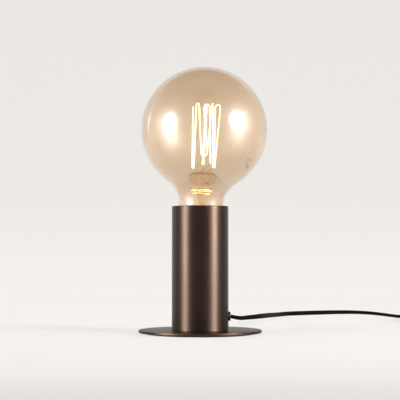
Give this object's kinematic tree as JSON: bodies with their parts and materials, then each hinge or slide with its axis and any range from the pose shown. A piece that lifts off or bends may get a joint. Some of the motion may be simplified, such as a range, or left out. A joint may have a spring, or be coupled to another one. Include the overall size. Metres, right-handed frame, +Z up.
{
  "type": "bare bulb table lamp",
  "caption": "Table lamp with a globe filament lamp standing bare in a round metal tube on a flat round base, with a mains cord, cord switch and two-pin plug.",
  "frame": {"origin": "on the tube's axis, in the plane of the base pad's underside", "axes": "+Z up along the tube, +X towards the side where the cord leaves, +Y away from the front"},
  "size_m": [0.4133, 0.4428, 0.2642],
  "materials": {
    "bronze_metal": "satin bronze-brown, fine brushed",
    "pad_felt": "black felt",
    "zinc_steel": "zinc plated",
    "holder_plastic": "black phenolic",
    "ceramic_white": "unglazed",
    "contact_brass": "bright",
    "nickel_shell": "nickel plated",
    "black_plastic": "moulded, satin",
    "rocker_plastic": "gloss",
    "cord_black": "black PVC",
    "core_brown": "PVC insulation",
    "solder_tin": "solder",
    "black_glass": "black glass",
    "amber_glass": "amber tinted, clear",
    "stem_glass": "clear",
    "rod_glass": "clear",
    "support_wire": "drawn wire",
    "tie_plastic": "hook and loop strap",
    "pin_nickel": "nickel plated",
    "filament_glow": "glowing tungsten coil"
  },
  "bodies": {
    "root": {"base_pad": "pad_felt", "base_disc": "bronze_metal", "base_screws": "zinc_steel", "tube_flange": "zinc_steel", "lamp_tube": "bronze_metal", "holder_bracket": "zinc_steel", "bracket_screws": "zinc_steel", "nipple": "zinc_steel", "nipple_washer": "zinc_steel", "nipple_nut": "zinc_steel", "holder_dome": "holder_plastic", "terminal_block": "ceramic_white", "holder_terminals": "contact_brass", "terminal_screws": "zinc_steel", "screw_shell": "nickel_shell", "holder_shell": "holder_plastic", "centre_contact": "contact_brass", "gland_body": "black_plastic", "gland_nut": "black_plastic", "inner_flex": "cord_black", "core_wires": "core_brown", "cord_lead": "cord_black", "cord_mid": "cord_black", "cord_coil": "cord_black", "cord_tail": "cord_black", "cord_tie": "tie_plastic", "switch_base": "black_plastic", "switch_cover": "black_plastic", "switch_terminals": "contact_brass", "switch_cores": "core_brown", "switch_screws": "zinc_steel", "plug_body": "black_plastic", "plug_pins": "pin_nickel"},
    "bulb_carrier": {"bulb_tip": "solder_tin", "bulb_insulator": "black_glass"},
    "bulb": {"bulb_cap": "nickel_shell", "bulb_glass": "amber_glass", "bulb_stem": "stem_glass", "stem_cup": "stem_glass", "bulb_filament": "filament_glow", "support_rod": "rod_glass", "support_hooks": "support_wire", "lead_wires": "support_wire"},
    "rocker": {"switch_rocker": "rocker_plastic", "rocker_contact": "contact_brass"}
  },
  "joints": [
    {"name": "bulb_rise", "type": "slide", "parent": "root", "child": "bulb_carrier", "axis": [0, 0, 1], "range_m": [0, 0.0147]},
    {"name": "bulb_unscrew", "type": "hinge", "parent": "bulb_carrier", "child": "bulb", "pos_m": [0, 0, 0.1], "axis": [0, 0, 1], "range_deg": [0, 1440]},
    {"name": "switch_rock", "type": "hinge", "parent": "root", "child": "rocker", "pos_m": [0.257, 0.196, 0.012], "axis": [1, 0, 0], "range_deg": [0, 16]}
  ],
  "couplings": [
    {"joint": "bulb_rise", "follows": "bulb_unscrew", "m_per_rad": 0.0005775}
  ]
}
